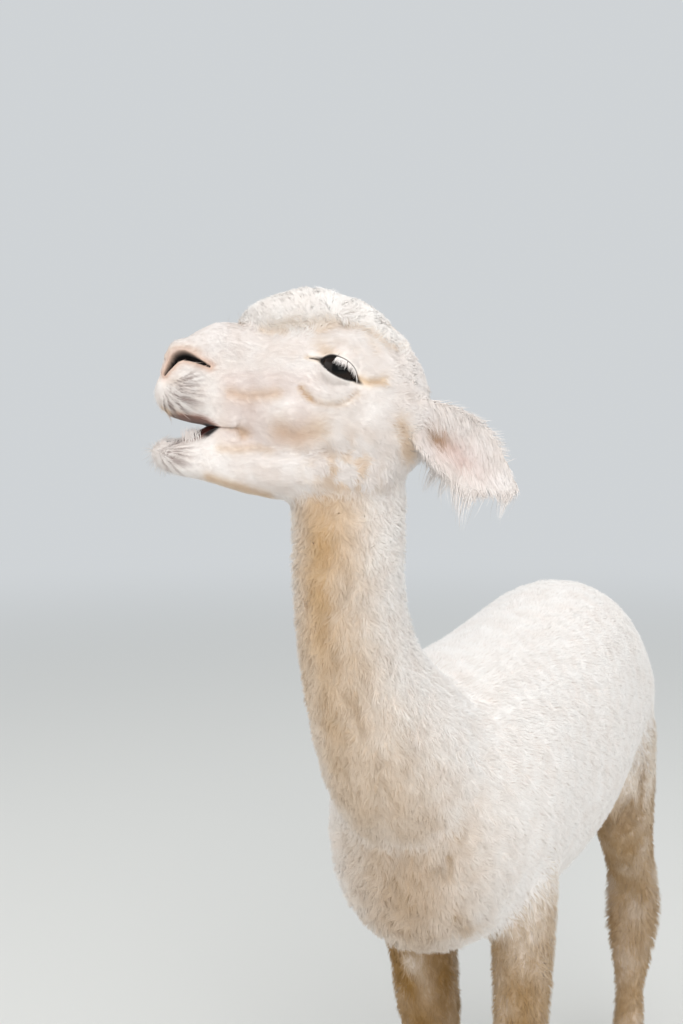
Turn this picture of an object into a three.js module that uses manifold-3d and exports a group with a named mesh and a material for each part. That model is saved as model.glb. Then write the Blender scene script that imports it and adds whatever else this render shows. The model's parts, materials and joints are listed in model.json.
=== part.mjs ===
// A life-size model of a shorn white alpaca, standing, with its head raised and turned to its right and its
// mouth a little open.
//
// Units are millimetres and +Z is up. The body faces -Y, so its left side is at +X. The origin is on the floor,
// under the middle of the whole model's box. Every solid of flesh is drawn out to the tips of its coat.
//
// The flesh is made of lofts, which are rings of points along a path, joined by faces. Each loft can be made a
// little larger, and a neighbour is cut by that larger copy, which leaves a thin gap between the two.

import * as THREE from "three";
import { mergeVertices } from "three/addons/utils/BufferGeometryUtils.js";
import Module from "manifold-3d";

const wasm = await Module();
wasm.setup();

// ---------------------------------------------------------------- driving dimensions

const GAP = 0.3; // between two solids that meet
const FLOOR = 0;

// The head's own frame runs forward along the bridge of the nose, to the animal's left, and up to the crown.
const HEAD = {
  middle: [-2, -508, 1188], // on the head's middle plane, level with the eyes
  turn: 56, // degrees to the animal's right, from straight ahead
};

const EYE = { radius: 19.5, forward: 1, aside: 37.5, up: -4 };

// Where each foot stands, where the leg is carried, and how thick its coat is.
const STANCE = {
  foreleg_left: { foot: [94, -222], top: [94, -212], girth: 0.94 },
  foreleg_right: { foot: [-66, -50], top: [-77, -178], girth: 1.24 },
  hindleg_left: { foot: [94, 354], top: [87, 354], girth: 1.06 },
  hindleg_right: { foot: [-80, 250], top: [-84, 330], girth: 1 },
};
const LEG_TOP = 560; // height at which a leg is carried

const TOE_SPREAD = 16.5; // from the middle of a foot to the middle of each toe
const TOE_SPLAY = 7; // degrees that each toe turns outwards

// Colour, roughness and metalness of each kind of surface.
const FINISH = {
  fleece: { color: "#ebe4db", roughness: 0.95, metalness: 0 },
  stained_fleece: { color: "#cdb79c", roughness: 0.95, metalness: 0 },
  leg_wool: { color: "#a98d70", roughness: 0.95, metalness: 0 },
  face_hair: { color: "#efe6df", roughness: 0.9, metalness: 0 },
  ear_hair: { color: "#f0e4dc", roughness: 0.9, metalness: 0 },
  eyeball: { color: "#10151c", roughness: 0.08, metalness: 0 },
  toenail: { color: "#4a4038", roughness: 0.55, metalness: 0 },
  tongue: { color: "#a86a66", roughness: 0.4, metalness: 0 },
};

// ---------------------------------------------------------------- curves

// Rows of numbers become one smooth curve for each column. The first number of a row is its place, and no value
// swings past those of the rows beside it.
function table(rows) {
  const places = rows.map(([place]) => place);
  const steps = places.slice(1).map((place, i) => place - places[i]);
  const columns = rows[0].slice(1).map((_, c) => {
    const values = rows.map((row) => row[c + 1]);
    const slopes = steps.map((step, i) => (values[i + 1] - values[i]) / step);
    const tangents = values.map((_, i) => {
      const before = slopes[Math.max(i - 1, 0)];
      const after = slopes[Math.min(i, slopes.length - 1)];
      return before * after <= 0 ? 0 : (2 * before * after) / (before + after);
    });
    return { values, tangents };
  });
  return (place) => {
    const rising = steps[0] > 0;
    const beyond = places.findIndex((p) => (rising ? p > place : p < place));
    const i = beyond < 0 ? steps.length - 1 : Math.max(beyond - 1, 0);
    const t = THREE.MathUtils.clamp((place - places[i]) / steps[i], 0, 1);
    const ease = t * t * (3 - 2 * t);
    return columns.map(
      ({ values, tangents }) =>
        THREE.MathUtils.lerp(values[i], values[i + 1], ease) +
        t * (1 - t) * steps[i] * ((1 - t) * tangents[i] - t * tangents[i + 1]),
    );
  };
}

// Places from one end of a table to the other, closer together at both ends, where a form rounds off.
function spread(rows, count, crowd) {
  const [first, last] = [rows[0][0], rows.at(-1)[0]];
  return Array.from({ length: count }, (_, i) => {
    const even = i / (count - 1);
    const eased = (1 - Math.cos(Math.PI * even)) / 2;
    return THREE.MathUtils.lerp(first, last, THREE.MathUtils.lerp(even, eased, crowd));
  });
}

// The distance from the middle of a rounded outline to its edge. Its four half sizes may all differ, and a power
// above 2 makes it squarer.
function reach(angle, { left, right, top, bottom, power }) {
  const [c, s] = [Math.cos(angle), Math.sin(angle)];
  const across = Math.abs(c) / (c > 0 ? left : right);
  const upright = Math.abs(s) / (s > 0 ? top : bottom);
  return (across ** power + upright ** power) ** (-1 / power);
}

// A smooth swelling that fades over a width on both sides of its centre.
const swell = (value, centre, width) => Math.exp(-(((value - centre) / width) ** 2));

// How far up the side of a body an angle lies, the same on its left and right.
const rise = (angle) => Math.atan2(Math.sin(angle), Math.abs(Math.cos(angle)));

// ---------------------------------------------------------------- solids

// A geometry as a closed solid with its faces outwards, whichever way round they were.
function solidOf(geometry) {
  const bare = new THREE.BufferGeometry();
  const loose = geometry.index ? geometry.toNonIndexed() : geometry;
  bare.setAttribute("position", loose.attributes.position);
  const merged = mergeVertices(bare, 1e-3);
  const corners = merged.index.array;
  const faces = [];
  for (let i = 0; i < corners.length; i += 3) {
    const [a, b, c] = corners.slice(i, i + 3);
    if (a !== b && b !== c && a !== c) faces.push([a, b, c]);
  }
  const make = (list) =>
    new wasm.Manifold(
      new wasm.Mesh({
        numProp: 3,
        vertProperties: new Float32Array(merged.attributes.position.array),
        triVerts: new Uint32Array(list.flat()),
      }),
    );
  const made = make(faces);
  return made.volume() < 0 ? make(faces.map(([a, b, c]) => [a, c, b])) : made;
}

// Rings with equal numbers of points, joined in turn and closed at both ends with a fan.
function joinRings(rings) {
  const sides = rings[0].length;
  const corners = [];
  for (let r = 0; r + 1 < rings.length; r++) {
    for (let i = 0; i < sides; i++) {
      const j = (i + 1) % sides;
      const [a, b, c, d] = [rings[r][i], rings[r][j], rings[r + 1][j], rings[r + 1][i]];
      corners.push(a, b, c, a, c, d);
    }
  }
  const close = (ring, turned) => {
    const middle = ring.reduce((sum, p) => sum.add(p), new THREE.Vector3()).divideScalar(sides);
    ring.forEach((a, i) => {
      const b = ring[(i + 1) % sides];
      corners.push(middle, ...(turned ? [b, a] : [a, b]));
    });
  };
  close(rings[0], true);
  close(rings.at(-1), false);
  return solidOf(new THREE.BufferGeometry().setFromPoints(corners));
}

// A loft along a straight axis. Each row is place, top, bottom, half width, height of the widest line, power.
// put(place, across, height) sets a point in the model, and shape(place, angle) adds to the reach.
function straightLoft(rows, { rings, sides, put, grow = 0, crowd = 0.35, shape = () => 0, lowest = -Infinity }) {
  const read = table(rows);
  const outward = Math.sign(rows.at(-1)[0] - rows[0][0]) * grow;
  const made = spread(rows, rings, crowd).map((place, i) => {
    const [top, bottom, width, widest, power] = read(place);
    const sizes = { left: width, right: width, top: top - widest, bottom: widest - bottom, power };
    const end = i === 0 ? -outward : i === rings - 1 ? outward : 0;
    return Array.from({ length: sides }, (_, k) => {
      const angle = (2 * Math.PI * (k + 0.5)) / sides;
      const r = reach(angle, sizes) + grow + shape(place, angle);
      return put(place + end, r * Math.cos(angle), Math.max(widest + r * Math.sin(angle), lowest));
    });
  });
  return joinRings(made);
}

// A loft along a bent path. Each row is x, y, z, then how far it reaches in front, behind and to each side.
// turn(t) says how many degrees to its right the front of the limb faces.
function limb(rows, { rings, sides, grow = 0, turn = () => 0 }) {
  const curve = (column) =>
    new THREE.CatmullRomCurve3(
      rows.map((row) => new THREE.Vector3(...row.slice(column, column + 3))),
      false,
      "catmullrom",
    );
  const [path, sizes] = [curve(0), curve(3)];
  const made = Array.from({ length: rings }, (_, i) => {
    const t = i / (rings - 1);
    const along = path.getTangent(t);
    const end = i === 0 ? -grow : i === rings - 1 ? grow : 0;
    const middle = path.getPoint(t).addScaledVector(along, end);
    const facing = THREE.MathUtils.degToRad(turn(t));
    const ahead = new THREE.Vector3(-Math.sin(facing), -Math.cos(facing), 0);
    ahead.addScaledVector(along, -ahead.dot(along)).normalize();
    const aside = new THREE.Vector3().crossVectors(along, ahead).normalize();
    const { x: front, y: back, z: side } = sizes.getPoint(t);
    return Array.from({ length: sides }, (_, k) => {
      const angle = (2 * Math.PI * k) / sides;
      const r = reach(angle, { left: front, right: back, top: side, bottom: side, power: 2 }) + grow;
      return middle
        .clone()
        .addScaledVector(ahead, r * Math.cos(angle))
        .addScaledVector(aside, r * Math.sin(angle));
    });
  });
  return joinRings(made);
}

// ---------------------------------------------------------------- trunk

// From the chest to the rump.
const TRUNK = [
  [-410, 720, 640, 24, 670, 2],
  [-400, 760, 578, 66, 662, 2],
  [-375, 806, 532, 94, 655, 2.1],
  [-330, 842, 508, 117, 655, 2.1],
  [-260, 860, 494, 132, 660, 2.2],
  [-150, 863, 486, 143, 670, 2.2],
  [-50, 870, 484, 151, 675, 2.2],
  [50, 883, 494, 155, 680, 2.2],
  [130, 896, 516, 152, 690, 2.2],
  [200, 900, 548, 146, 700, 2.2],
  [260, 889, 575, 139, 700, 2.2],
  [320, 859, 592, 130, 695, 2.2],
  [365, 815, 606, 112, 690, 2.1],
  [398, 762, 628, 84, 680, 2],
  [417, 705, 655, 34, 680, 2],
];

// The shoulder, the dip behind it, the hollow of the flank, the point of the hip and the buttock.
function muscles(place, angle) {
  const up = rise(angle);
  return (
    9 * swell(place, -215, 75) * swell(up, 0.15, 0.6) -
    5 * swell(place, -95, 55) * swell(up, 0.3, 0.6) -
    8 * swell(place, 145, 50) * swell(up, 0.4, 0.35) +
    5 * swell(place, 205, 40) * swell(up, 0.85, 0.3) +
    8 * swell(place, 315, 60) * swell(up, -0.05, 0.5)
  );
}

const trunk = (grow = 0) =>
  straightLoft(TRUNK, {
    rings: 22,
    sides: 24,
    grow,
    shape: muscles,
    put: (place, across, height) => new THREE.Vector3(across, place, height),
  });

// ---------------------------------------------------------------- neck

// From inside the head down to the chest. Only its upper part turns with the head.
const NECK = [
  [-2, -506, 1120, 42, 54, 34],
  [4, -505, 1080, 57, 68, 48],
  [5, -503, 1020, 61, 70, 54],
  [0, -485, 950, 69, 66, 57],
  [-6, -440, 870, 89, 65, 68],
  [-4, -375, 790, 112, 88, 92],
  [0, -300, 710, 118, 110, 112],
];
const NECK_TWIST = 1.6; // the turn is spent this much sooner than the neck's foot

const neck = () =>
  limb(NECK, { rings: 14, sides: 18, turn: (t) => HEAD.turn * Math.max(0, 1 - NECK_TWIST * t) });

// ---------------------------------------------------------------- head

const headFrame = new THREE.Matrix4();
{
  const turn = THREE.MathUtils.degToRad(HEAD.turn);
  const forward = new THREE.Vector3(-Math.sin(turn), -Math.cos(turn), 0);
  const up = new THREE.Vector3(0, 0, 1);
  const left = new THREE.Vector3().crossVectors(up, forward);
  headFrame.makeBasis(forward, left, up).setPosition(...HEAD.middle);
}
const inHead = (forward, left, up) => new THREE.Vector3(forward, left, up).applyMatrix4(headFrame);

// From the upper lip to the back of the skull.
const SKULL = [
  [182, -21, -31, 8, -26, 2],
  [179, -17, -38, 16, -26, 2],
  [175.5, -8, -42, 20, -23, 2.1],
  [172, 12, -44, 23, -15, 2.3],
  [166, 25, -47, 25, -14, 2.4],
  [143, 35, -54, 28, -18, 2.4],
  [133, 39, -55.5, 29.5, -19, 2.4],
  [122, 42, -57.5, 31, -20, 2.3],
  [112, 43, -62, 33, -21, 2.2],
  [100, 44, -70, 35, -22, 2.2],
  [80, 45.5, -84, 40, -25, 2.2],
  [60, 47, -98, 45, -28, 2.2],
  [40, 50, -108, 49.5, -30, 2.2],
  [20, 54, -114, 52.5, -30, 2.2],
  [0, 57, -118, 54, -28, 2.2],
  [-20, 57, -119, 54, -30, 2.2],
  [-40, 50, -117, 52, -34, 2.2],
  [-60, 36, -110, 48, -38, 2.2],
  [-76, 16, -98, 40, -42, 2.1],
  [-86, -6, -84, 28, -45, 2],
  [-90, -30, -65, 12, -47, 2],
];

// The lips, the nostril's dip and rim, the hollow of the face, the brow and the dip and bag under it, the cheek.
function face(place, angle) {
  const up = rise(angle);
  return (
    3 * swell(place, 158, 20) * swell(up, -0.7, 0.5) -
    2.5 * swell(place, 150, 14) * swell(up, 0.55, 0.3) +
    2 * swell(place, 128, 24) * swell(up, 0.7, 0.4) -
    3 * swell(place, 85, 30) * swell(up, 0, 0.5) +
    4 * swell(place, -4, 28) * swell(up, 0.85, 0.35) -
    3 * swell(place, 4, 20) * swell(up, 0.35, 0.25) +
    3 * swell(place, 10, 30) * swell(up, -0.25, 0.3) +
    4 * swell(place, -20, 36) * swell(up, -0.85, 0.4)
  );
}

const skull = (grow = 0) => straightLoft(SKULL, { rings: 24, sides: 22, grow, put: inHead, shape: face });

// The wool on the crown, from the forehead to the nape.
const TOPKNOT = [
  [95, 54, 40, 8, 47, 2],
  [91, 61, 30, 22, 47, 2],
  [72, 70, 24, 34, 47, 2.2],
  [51, 78, 20, 41, 46, 2.2],
  [25, 81.5, 20, 45, 44, 2.2],
  [-1, 76, 20, 48, 38, 2.2],
  [-27, 67, 10, 50, 28, 2.2],
  [-50, 50, 0, 49, 14, 2.2],
  [-72, 25, -20, 44, -5, 2.2],
  [-86, 2, -40, 30, -22, 2],
  [-94, -18, -34, 10, -27, 2],
];

const topknot = (grow = 0) => straightLoft(TOPKNOT, { rings: 12, sides: 16, grow, put: inHead });

// From the lower lip to the angle of the jaw.
const JAW = [
  [187, -79, -87, 6, -83, 2],
  [182.5, -71, -94, 15, -83, 2],
  [171, -68, -103, 20, -85, 2.1],
  [150, -69, -109, 23, -89, 2.4],
  [137, -66, -112, 25.5, -89, 2.6],
  [124, -61.5, -115, 28, -89, 2.8],
  [113, -57, -119, 30, -92, 2.7],
  [103, -56, -122, 32, -94, 2.6],
  [80, -68, -128, 38, -101, 2.2],
  [50, -72, -132, 46, -102, 2.2],
  [10, -68, -134, 53, -102, 2.2],
  [-25, -68, -134, 54, -102, 2.2],
  [-50, -74, -128, 46, -102, 2],
];

const jaw = (grow = 0) => straightLoft(JAW, { rings: 13, sides: 14, grow, put: inHead });

// It lies on the floor of the mouth and fills its back. The lip hides the teeth, so there are none.
const TONGUE = [
  [152, -68, -78, 5, -73, 2],
  [148, -65.5, -80, 10, -73, 2.2],
  [138, -61.5, -80, 13, -71, 2.2],
  [124, -55, -80, 13, -66, 2.2],
  [110, -54, -82, 12, -68, 2],
];

const tongue = () => straightLoft(TONGUE, { rings: 6, sides: 10, put: inHead, crowd: 0 });

function eye(side, grow = 0) {
  const ball = new THREE.SphereGeometry(EYE.radius + grow, 12, 9);
  ball.deleteAttribute("normal");
  ball.deleteAttribute("uv");
  ball.rotateX(Math.PI / 2);
  ball.translate(...inHead(EYE.forward, side * EYE.aside, EYE.up).toArray());
  return solidOf(ball);
}

// ---------------------------------------------------------------- ears

// Both are laid back and hang a little, the right one less than the left.
const EAR = {
  root: [-66, 38, -48],
  tip: { 1: [-168, 60, -118], [-1]: [-163, 64, -98] },
  halfWidth: 38,
  cup: 12, // depth of the hollow on its inner face
  thick: 8,
  thinning: 0.6, // share of the thickness that is gone at the tip
  lengths: 9,
  widths: 6,
};

// From the root of the ear to its tip, how much of its full width it has.
const leafWidth = table([
  [0, 0.45],
  [0.16, 0.82],
  [0.35, 1],
  [0.54, 0.97],
  [0.7, 0.74],
  [0.85, 0.42],
  [1, 0.06],
]);

// A cupped leaf whose hollow faces outwards. The left ear's side is 1 and the right one's is -1.
function ear(side) {
  const [root, tip] = [EAR.root, EAR.tip[side]].map(
    ([forward, left, up]) => new THREE.Vector3(forward, left * side, up),
  );
  const along = tip.clone().sub(root);
  const length = along.length();
  along.normalize();
  const outward = new THREE.Vector3(0, side, 0);
  outward.addScaledVector(along, -outward.dot(along)).normalize();
  const across = new THREE.Vector3().crossVectors(outward, along).normalize();
  const point = (u, v, inner) => {
    const width = leafWidth(u)[0];
    const hollow = 1 - v * v;
    const thick = EAR.thick * Math.sqrt(hollow) * (1 - EAR.thinning * u);
    return root
      .clone()
      .addScaledVector(along, length * u)
      .addScaledVector(across, EAR.halfWidth * width * v)
      .addScaledVector(outward, -EAR.cup * width * hollow + (inner ? thick : 0))
      .applyMatrix4(headFrame);
  };
  const { lengths, widths } = EAR;
  const made = Array.from({ length: lengths + 1 }, (_, i) => {
    const u = i / lengths;
    const outer = Array.from({ length: widths + 1 }, (_, k) => point(u, (2 * k) / widths - 1, false));
    const inner = Array.from({ length: widths - 1 }, (_, k) => point(u, 1 - (2 * (k + 1)) / widths, true));
    return [...outer, ...inner];
  });
  return joinRings(made);
}

// ---------------------------------------------------------------- legs

// Down a leg: how far behind its line it lies, its height, then the coat in front, behind and to each side.
// The line runs from the place where the leg is carried to the place where its foot stands.
const FORELEG = [
  [12, 690, 36, 36, 24],
  [8, 640, 62, 60, 38],
  [4, 580, 68, 66, 44],
  [0, 515, 60, 60, 43],
  [-2, 450, 50, 50, 41],
  [-4, 390, 44, 43, 38],
  [-6, 335, 43, 39, 38],
  [-4, 280, 36, 34, 33],
  [0, 210, 29, 30, 28],
  [0, 150, 28, 30, 28],
  [-3, 105, 31, 32, 31],
  [-14, 64, 30, 30, 30],
  [-22, 36, 25, 27, 27],
];

const HINDLEG = [
  [-70, 745, 40, 40, 24],
  [-68, 700, 84, 84, 42],
  [-72, 630, 100, 100, 52],
  [-72, 550, 84, 98, 51],
  [-50, 480, 66, 78, 46],
  [-22, 420, 50, 56, 40],
  [2, 375, 44, 52, 39],
  [12, 338, 41, 62, 40],
  [8, 290, 38, 60, 40],
  [2, 235, 32, 52, 36],
  [-4, 180, 27, 31, 27],
  [-5, 130, 27, 29, 27],
  [-8, 102, 30, 31, 30],
  [-18, 64, 29, 29, 29],
  [-26, 36, 25, 27, 27],
];

const [THIN_COAT, FULL_COAT] = [100, 300]; // heights between which the coat's girth comes in

function leg(rows, { foot, top, girth }) {
  const placed = rows.map(([behind, height, ...sizes]) => {
    const t = Math.min(height / LEG_TOP, 1);
    const [x, y] = [0, 1].map((i) => THREE.MathUtils.lerp(foot[i], top[i], t));
    const coat = THREE.MathUtils.lerp(1, girth, THREE.MathUtils.smoothstep(height, THIN_COAT, FULL_COAT));
    return [x, y + behind, height, ...sizes.map((size) => size * coat)];
  });
  return limb(placed, { rings: 16, sides: 12 });
}

// ---------------------------------------------------------------- feet

// From the heel of a toe's pad to its tip. The floor cuts its sole flat.
const TOE = [
  [-38, 20, 0, 9, 10, 2.2],
  [-31, 33, -4, 15, 13, 2.3],
  [-8, 46, -6, 18.5, 15, 2.4],
  [18, 42, -6, 18, 14, 2.4],
  [38, 29, -5, 14.5, 11, 2.3],
  [48, 17, 1, 7, 8, 2],
];

const NAIL = [
  [26, 32, 12, 10, 20, 2.2],
  [41, 28, 6, 10.5, 15, 2.2],
  [53, 19, 2, 8.5, 9, 2.2],
  [62, 8, 1, 4, 4, 2],
];

// Each toe and its nail point forward and a little outwards from the middle of the foot.
function inToe([x, y], side) {
  const splay = THREE.MathUtils.degToRad(TOE_SPLAY * side);
  const [c, s] = [Math.cos(splay), Math.sin(splay)];
  return (place, across, height) =>
    new THREE.Vector3(x + side * TOE_SPREAD + across * c + place * s, y - place * c + across * s, height);
}

const toe = (foot, side, grow = 0) =>
  straightLoft(TOE, { rings: 6, sides: 8, grow, lowest: FLOOR, put: inToe(foot, side) });

const nail = (foot, side) => straightLoft(NAIL, { rings: 4, sides: 6, crowd: 0, put: inToe(foot, side) });

// ---------------------------------------------------------------- tail

const TAIL = [
  [0, 340, 822, 20, 24, 24],
  [0, 384, 800, 24, 24, 28],
  [0, 414, 750, 24, 24, 33],
  [0, 426, 700, 22, 22, 34],
  [0, 426, 655, 18, 18, 29],
  [0, 420, 620, 10, 10, 16],
  [0, 417, 606, 3, 3, 5],
];

const tail = () => limb(TAIL, { rings: 8, sides: 10 });

// ---------------------------------------------------------------- the animal

const alpaca = new THREE.Group();
alpaca.name = "alpaca";

function add(name, made, finish) {
  const { vertProperties, triVerts } = made.getMesh();
  const geometry = new THREE.BufferGeometry();
  geometry.setAttribute("position", new THREE.BufferAttribute(vertProperties, 3));
  geometry.setIndex(new THREE.BufferAttribute(triVerts, 1));
  geometry.computeVertexNormals();
  const mesh = new THREE.Mesh(geometry, new THREE.MeshStandardMaterial(FINISH[finish]));
  mesh.name = name;
  alpaca.add(mesh);
}

const cutBy = (made, ...others) => others.reduce((left, other) => left.subtract(other), made);

function addHead() {
  add("head", cutBy(skull(), eye(1, GAP), eye(-1, GAP)), "face_hair");
  add("topknot", cutBy(topknot(), skull(GAP)), "fleece");
  add("lower_jaw", cutBy(jaw(), skull(GAP)), "face_hair");
  add("tongue", cutBy(tongue(), jaw(GAP), skull(GAP)), "tongue");
  for (const [name, side] of Object.entries({ left: 1, right: -1 })) {
    add(`eye_${name}`, eye(side), "eyeball");
    add(`ear_${name}`, cutBy(ear(side), skull(GAP), topknot(GAP)), "ear_hair");
  }
}

// A leg with its foot, which is two toes joined at the middle, and a nail on each toe.
function addLeg(name, stance) {
  const rows = name.startsWith("fore") ? FORELEG : HINDLEG;
  const foot = [stance.foot[0], stance.foot[1] + rows.at(-1)[0]];
  const toes = (grow = 0) => toe(foot, 1, grow).add(toe(foot, -1, grow));
  add(name, cutBy(leg(rows, stance), trunk(GAP), toes(GAP)), "leg_wool");
  add(name.replace("leg", "foot"), toes(), "leg_wool");
  for (const side of [1, -1]) {
    const place = side * stance.foot[0] > 0 ? "outer" : "inner";
    add(`${name.replace("leg", "nail")}_${place}`, cutBy(nail(foot, side), toes(GAP)), "toenail");
  }
}

add("trunk", trunk(), "fleece");
add("neck", cutBy(neck(), skull(GAP), jaw(GAP), topknot(GAP), trunk(GAP)), "stained_fleece");
addHead();
Object.entries(STANCE).forEach(([name, stance]) => addLeg(name, stance));
add("tail", cutBy(tail(), trunk(GAP)), "fleece");

const box = new THREE.Box3().setFromObject(alpaca);
const middle = box.getCenter(new THREE.Vector3());
alpaca.position.set(-middle.x, -middle.y, FLOOR - box.min.z);

export default alpaca;
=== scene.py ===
"""A shorn white alpaca, life-size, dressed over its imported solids: one hide, its fleece, eyes, mouth and nails."""

import json
import math

import bpy
import numpy as np
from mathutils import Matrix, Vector
from mathutils.bvhtree import BVHTree
from mathutils.kdtree import KDTree

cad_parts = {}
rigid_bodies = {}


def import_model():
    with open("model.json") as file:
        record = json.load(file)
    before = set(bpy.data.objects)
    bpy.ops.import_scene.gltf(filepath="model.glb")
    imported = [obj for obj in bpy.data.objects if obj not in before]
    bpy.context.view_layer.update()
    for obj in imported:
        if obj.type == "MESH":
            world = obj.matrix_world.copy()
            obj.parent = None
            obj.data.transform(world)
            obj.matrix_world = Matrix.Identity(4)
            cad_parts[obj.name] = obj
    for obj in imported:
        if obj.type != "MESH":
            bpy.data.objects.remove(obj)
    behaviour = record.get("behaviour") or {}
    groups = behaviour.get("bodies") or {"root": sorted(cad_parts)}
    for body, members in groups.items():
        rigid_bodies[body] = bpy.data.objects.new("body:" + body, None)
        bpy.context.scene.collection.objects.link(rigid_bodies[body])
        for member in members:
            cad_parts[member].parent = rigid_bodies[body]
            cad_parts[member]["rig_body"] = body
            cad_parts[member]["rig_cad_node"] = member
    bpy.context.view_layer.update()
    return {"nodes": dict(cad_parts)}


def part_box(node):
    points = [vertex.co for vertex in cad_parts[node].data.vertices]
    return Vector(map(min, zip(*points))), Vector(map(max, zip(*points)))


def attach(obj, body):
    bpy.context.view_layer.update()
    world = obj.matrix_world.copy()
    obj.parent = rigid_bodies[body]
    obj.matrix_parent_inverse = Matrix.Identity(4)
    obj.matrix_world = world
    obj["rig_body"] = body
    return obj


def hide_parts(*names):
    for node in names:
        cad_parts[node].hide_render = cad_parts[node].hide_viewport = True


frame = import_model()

# ---------------------------------------------------------------- the hide
# The real skin is one unbroken hide over the muscles, thin on the face and ears and looser on the neck and legs.
# It starts as all the solids of flesh melted into one, smoothed over their seams, and drawn in by the depth of the
# coat. The folds of the head are then worked into it.

MM = 0.001
SIDES = {"left": 1, "right": -1}
LEGS = [f"{end}leg_{side}" for end in ("fore", "hind") for side in SIDES]
FEET = [name.replace("leg", "foot") for name in LEGS]
MELTED = ["trunk", "neck", "head", "topknot", "lower_jaw", "tail", *LEGS, *FEET]
EARS = ["ear_left", "ear_right"]
HIDE_GRAIN = 3.0 * MM  # size of the squares that the hide is first made of
OVERLAP = 0.6 * MM  # how far each solid is swollen first, so that it melts into its neighbours
WELD = 1e-5  # corners of a solid's loose triangles that are as close as this are one
SOLE_EDGE = 6 * MM  # below this height, what faces down is sole and has no coat

# For each part of the flesh: depth of the coat over the hide in millimetres, and how evenly the hide is smoothed.
COVER = {
    "trunk": (8, 1),
    "neck": (8, 0.8),
    "head": (2.2, 0.05),
    "topknot": (7, 0.12),
    "lower_jaw": (2.6, 0.05),
    "tail": (10, 0.2),
    "leg": (6, 0.18),
    "foot": (3, 0.04),
}


def kind(name):
    """The kind of flesh that a solid is, without its side or place."""
    for word in ("leg", "foot"):
        if word in name:
            return word
    return name


def read(items, key, width=3, number=float):
    """One row of numbers for each of a mesh's items."""
    flat = np.empty(len(items) * width, dtype=number)
    items.foreach_get(key, flat)
    return flat.reshape(-1, width)


def read_points(mesh):
    return read(mesh.vertices, "co")


def read_normals(mesh):
    return read(mesh.vertex_normals, "vector")


def edge_ends(mesh):
    return read(mesh.edges, "vertices", 2, np.int64)


def write_points(mesh, points):
    mesh.vertices.foreach_set("co", np.asarray(points, float).ravel())
    mesh.update()


def only(obj):
    """Makes obj the one selected and active object."""
    bpy.ops.object.select_all(action="DESELECT")
    obj.select_set(True)
    bpy.context.view_layer.objects.active = obj


def modify(obj, kind_of_modifier, **settings):
    """Adds a modifier with its settings and applies it."""
    only(obj)
    modifier = obj.modifiers.new(kind_of_modifier, kind_of_modifier)
    for key, value in settings.items():
        setattr(modifier, key, value)
    bpy.ops.object.modifier_apply(modifier=modifier.name)


def nearest_flesh(points, names):
    """For each point, the number in names of the solid whose surface is nearest."""
    corners, faces, owner = [], [], []
    for number, name in enumerate(names):
        mesh = frame["nodes"][name].data
        start = len(corners)
        corners.extend(v.co.copy() for v in mesh.vertices)
        faces.extend([start + i for i in p.vertices] for p in mesh.polygons)
        owner.extend([number] * len(mesh.polygons))
    tree = BVHTree.FromPolygons(corners, faces)
    found = [tree.find_nearest(Vector(p))[2] for p in points]
    return np.array(owner)[np.array(found)]


def soften(values, ends, rounds, share=0.5):
    """Each value moves towards the mean of its neighbours along the mesh's edges, some rounds over."""
    values = np.array(values, float)
    count = len(values)
    both = np.concatenate([ends, ends[:, ::-1]])
    degree = np.maximum(np.bincount(both[:, 0], minlength=count), 1)
    columns = values.reshape(count, -1)
    for _ in range(rounds):
        for c in range(columns.shape[1]):
            mean = np.bincount(both[:, 0], weights=columns[both[:, 1], c], minlength=count) / degree
            columns[:, c] += share * (mean - columns[:, c])
    return columns.reshape(values.shape)


# The head has its own frame, in millimetres: forward along the bridge of the nose, to the animal's left, and up.
eyes = {side: sum(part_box(f"eye_{side}"), Vector()) / 2 for side in SIDES}
to_left = (eyes["left"] - eyes["right"]).normalized()
forward = to_left.cross(Vector((0, 0, 1)))
HEAD_AXES = np.array([forward, to_left, (0, 0, 1)])
EYE_RADIUS = 19.5
EYE_AT = np.array([1.0, 37.5, -4.0])  # the left eye's middle
HEAD_AT = np.array((eyes["left"] + eyes["right"]) / 2) - (EYE_AT * [1, 0, 1]) @ HEAD_AXES * MM


def in_head(points):
    return (points - HEAD_AT) @ HEAD_AXES.T / MM


def from_head(points):
    return HEAD_AT + (points @ HEAD_AXES) * MM


def ramp(low, high, values):
    """0 below low, 1 above high, and smooth between them."""
    t = np.clip((values - low) / (high - low), 0, 1)
    return t * t * (3 - 2 * t)


def fall(low, high, values):
    """1 below low, 0 above high, and smooth between them."""
    return 1 - ramp(low, high, values)


def band(start, full, fade, stop, values):
    """1 from full to fade, 0 before start and after stop, and smooth between them."""
    return ramp(start, full, values) * fall(fade, stop, values)


def bell(distance, width):
    return np.exp(-((distance / width) ** 2))


def flesh_copy(*names):
    """Copies of solids made one object, with the corners of their loose triangles joined."""
    bpy.ops.object.select_all(action="DESELECT")
    for name in names:
        copied = frame["nodes"][name].copy()
        copied.data = copied.data.copy()
        copied.parent = None
        bpy.context.scene.collection.objects.link(copied)
        copied.select_set(True)
        bpy.context.view_layer.objects.active = copied
    if len(names) > 1:
        bpy.ops.object.join()
    bpy.ops.object.mode_set(mode="EDIT")
    bpy.ops.mesh.select_all(action="SELECT")
    bpy.ops.mesh.remove_doubles(threshold=WELD)
    bpy.ops.object.mode_set(mode="OBJECT")
    return bpy.context.view_layer.objects.active


hide = flesh_copy(*MELTED, "eye_left", "eye_right")
hide.name = hide.data.name = "hide"
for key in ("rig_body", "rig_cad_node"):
    if key in hide:
        del hide[key]
hide.data.materials.clear()
write_points(hide.data, read_points(hide.data) + read_normals(hide.data) * OVERLAP)
modify(hide, "REMESH", mode="VOXEL", voxel_size=HIDE_GRAIN, adaptivity=0)


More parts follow.
